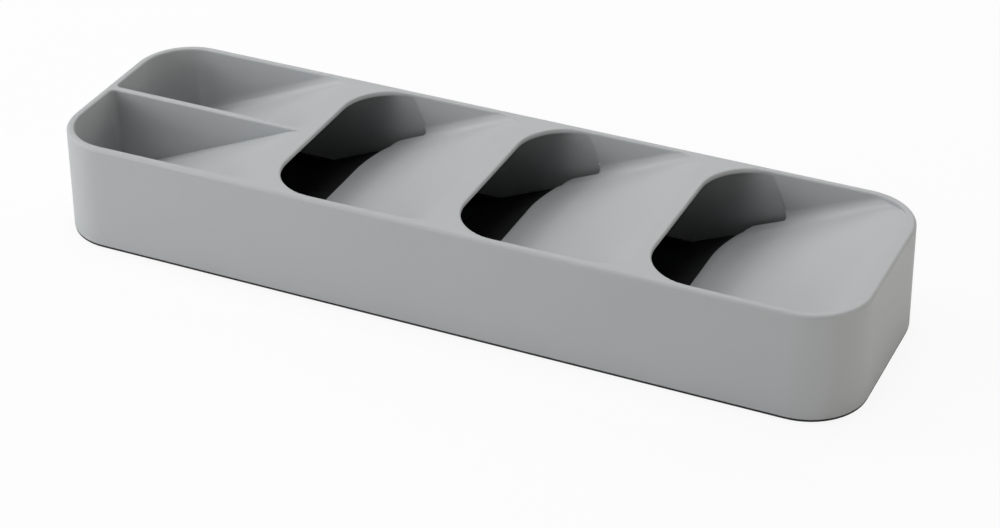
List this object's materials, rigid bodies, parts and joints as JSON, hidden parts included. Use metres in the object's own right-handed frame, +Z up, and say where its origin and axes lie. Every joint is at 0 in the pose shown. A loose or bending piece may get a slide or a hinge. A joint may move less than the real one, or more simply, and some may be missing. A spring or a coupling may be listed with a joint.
{
  "type": "cutlery drawer organizer",
  "caption": "Long drawer tray with divided end compartments and overlapping sloped pockets that stack cutlery in tiers.",
  "frame": {"origin": "centre of the tray's outline, on the surface that its feet stand on", "axes": "+X along the tray towards the last pocket's end, +Y from the long front wall to the long back wall, +Z up"},
  "size_m": [0.3972, 0.1132, 0.054],
  "materials": {
    "body_grey": "satin",
    "base_charcoal": "satin",
    "foot_rubber": "matte"
  },
  "bodies": {
    "root": {"housing": "body_grey", "base": "base_charcoal", "foot_1": "foot_rubber", "foot_2": "foot_rubber", "foot_3": "foot_rubber", "foot_4": "foot_rubber", "foot_5": "foot_rubber", "foot_6": "foot_rubber"}
  },
  "joints": []
}
